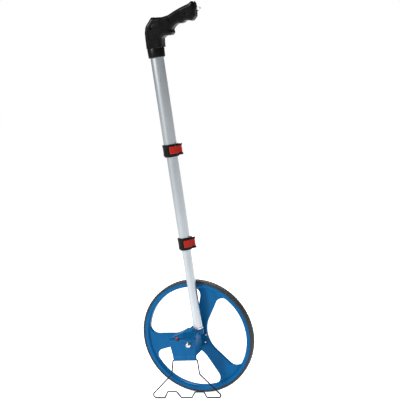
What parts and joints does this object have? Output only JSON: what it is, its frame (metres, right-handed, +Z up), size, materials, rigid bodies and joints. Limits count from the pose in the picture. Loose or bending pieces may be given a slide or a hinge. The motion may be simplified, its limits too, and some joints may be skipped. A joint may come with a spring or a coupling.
{
  "type": "measuring wheel",
  "caption": "Walking distance-measuring wheel with a side counter, telescopic pole with flip-lock clamps, cranked grip and folding wire stand.",
  "frame": {"origin": "centre of the bounding box at floor level, standing on the tyre and the wire stand", "axes": "+X the way the grip points and the wheel rolls, +Y from the counter side to the wheel's back, +Z up"},
  "size_m": [0.3183, 0.1062, 1.0469],
  "materials": {
    "blue_plastic": "moulded, semi gloss",
    "dark_blue_plastic": "moulded, semi gloss",
    "tyre_rubber": "ribbed rubber",
    "steel": "zinc plated",
    "bush_brass": "turned",
    "white_plastic": "moulded",
    "clear_plastic": "clear",
    "red_plastic": "moulded",
    "coated_wire": "black coated steel wire",
    "aluminium": "satin anodised",
    "bright_trim": "bright",
    "black_plastic": "fine textured"
  },
  "bodies": {
    "base": {"counter_case": "blue_plastic", "front_cover": "blue_plastic", "back_cover": "dark_blue_plastic", "case_screws": "steel", "display_window": "clear_plastic", "counter_frame": "steel", "frame_screws": "steel", "axle": "steel", "axle_dome_nut": "steel", "axle_washer": "steel", "axle_nut": "steel", "pole_ring": "bright_trim", "lower_tube": "aluminium", "socket_screw": "steel", "lower_tube_stop": "black_plastic"},
    "wheel": {"wheel_disc": "blue_plastic", "tyre": "tyre_rubber", "hub_plate": "dark_blue_plastic", "hub_rivets": "steel", "hub_bushes": "bush_brass", "drive_gear": "white_plastic"},
    "idler": {"idler_shaft": "white_plastic"},
    "counter_drive": {"counter_shaft": "steel", "drum_tenths": "white_plastic"},
    "ones": {"drum_ones": "white_plastic"},
    "tens": {"drum_tens": "white_plastic"},
    "hundreds": {"drum_hundreds": "white_plastic"},
    "thousands": {"drum_thousands": "white_plastic"},
    "button": {"reset_button": "red_plastic"},
    "stand": {"stand_wire": "coated_wire"},
    "middle_section": {"middle_tube": "aluminium", "lower_clamp": "black_plastic", "lower_bush": "black_plastic", "lower_lever_pin": "steel", "middle_tube_stop": "black_plastic"},
    "lower_lock": {"lower_lever": "red_plastic"},
    "top_section": {"top_tube": "aluminium", "upper_clamp": "black_plastic", "upper_bush": "black_plastic", "upper_lever_pin": "steel", "handle_collar": "black_plastic", "grip_front": "black_plastic", "grip_back": "black_plastic", "grip_screws": "steel", "strap_eyelet": "steel"},
    "upper_lock": {"upper_lever": "red_plastic"}
  },
  "joints": [
    {"name": "wheel_spin", "type": "hinge", "parent": "base", "child": "wheel", "pos_m": [0, 0.0311, 0.15915], "axis": [0, 1, 0], "continuous": true},
    {"name": "idler_spin", "type": "hinge", "parent": "base", "child": "idler", "pos_m": [-0.026, 0.0091, 0.165], "axis": [0, 1, 0], "continuous": true},
    {"name": "counter_spin", "type": "hinge", "parent": "base", "child": "counter_drive", "pos_m": [0, -0.0237, 0.1736], "axis": [1, 0, 0], "continuous": true},
    {"name": "ones_spin", "type": "hinge", "parent": "base", "child": "ones", "pos_m": [0.004, -0.0237, 0.1736], "axis": [1, 0, 0], "continuous": true},
    {"name": "tens_spin", "type": "hinge", "parent": "base", "child": "tens", "pos_m": [-0.001, -0.0237, 0.1736], "axis": [1, 0, 0], "continuous": true},
    {"name": "hundreds_spin", "type": "hinge", "parent": "base", "child": "hundreds", "pos_m": [-0.006, -0.0237, 0.1736], "axis": [1, 0, 0], "continuous": true},
    {"name": "thousands_spin", "type": "hinge", "parent": "base", "child": "thousands", "pos_m": [-0.012, -0.0237, 0.1736], "axis": [1, 0, 0], "continuous": true},
    {"name": "reset_press", "type": "slide", "parent": "base", "child": "button", "axis": [0, 0.7071, -0.7071], "range_m": [0, 0.003], "stiffness_N_per_m": 400, "springref_m": -0.002},
    {"name": "stand_fold", "type": "hinge", "parent": "base", "child": "stand", "pos_m": [-0.018, -0.0399, 0.1155], "axis": [-1, 0, 0], "range_deg": [0, 110]},
    {"name": "middle_slide", "type": "slide", "parent": "base", "child": "middle_section", "axis": [0, 0, -1], "range_m": [0, 0.085]},
    {"name": "lower_lock_swing", "type": "hinge", "parent": "middle_section", "child": "lower_lock", "pos_m": [0.039, 0.0061, 0.427], "axis": [0, 0, 1], "range_deg": [0, 100]},
    {"name": "top_slide", "type": "slide", "parent": "middle_section", "child": "top_section", "axis": [0, 0, -1], "range_m": [0, 0.2]},
    {"name": "upper_lock_swing", "type": "hinge", "parent": "top_section", "child": "upper_lock", "pos_m": [0.0415, 0.0061, 0.679], "axis": [0, 0, 1], "range_deg": [0, 100]}
  ],
  "couplings": [
    {"joint": "idler_spin", "follows": "wheel_spin", "ratio": -1},
    {"joint": "counter_spin", "follows": "wheel_spin", "ratio": 1},
    {"joint": "ones_spin", "follows": "wheel_spin", "ratio": 0.1},
    {"joint": "tens_spin", "follows": "wheel_spin", "ratio": 0.01},
    {"joint": "hundreds_spin", "follows": "wheel_spin", "ratio": 0.001},
    {"joint": "thousands_spin", "follows": "wheel_spin", "ratio": 0.0001}
  ]
}
